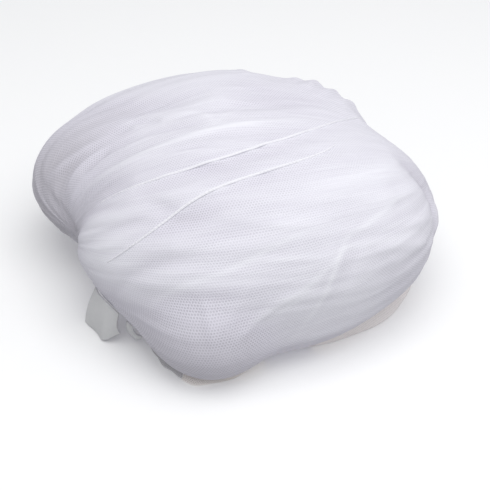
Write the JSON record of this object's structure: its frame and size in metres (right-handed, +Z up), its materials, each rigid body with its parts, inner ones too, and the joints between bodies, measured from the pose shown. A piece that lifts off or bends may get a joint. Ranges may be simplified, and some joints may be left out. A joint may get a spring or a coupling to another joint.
{
  "type": "mosquito net canopy, packed as a folded bundle",
  "caption": "White hexagonal netting of a bed canopy, folded and rolled into a soft flat-footed mound, with cloth edges showing under its overhang",
  "frame": {"origin": "on the surface that the bundle lies on, under the middle of its bounding box", "axes": "+Z up; +X along the bundle, its longest way; -Y towards the front mound, +Y towards the rear roll"},
  "size_m": [0.3133, 0.2859, 0.139],
  "materials": {
    "netting": "matte white hexagonal netting",
    "band_cloth": "matte dense plain cloth"
  },
  "bodies": {
    "root": {"net_bundle": "netting", "loose_end": "band_cloth", "loose_corner": "band_cloth", "under_fold_left": "netting", "under_fold_front": "netting", "under_fold_right": "netting"}
  },
  "joints": []
}
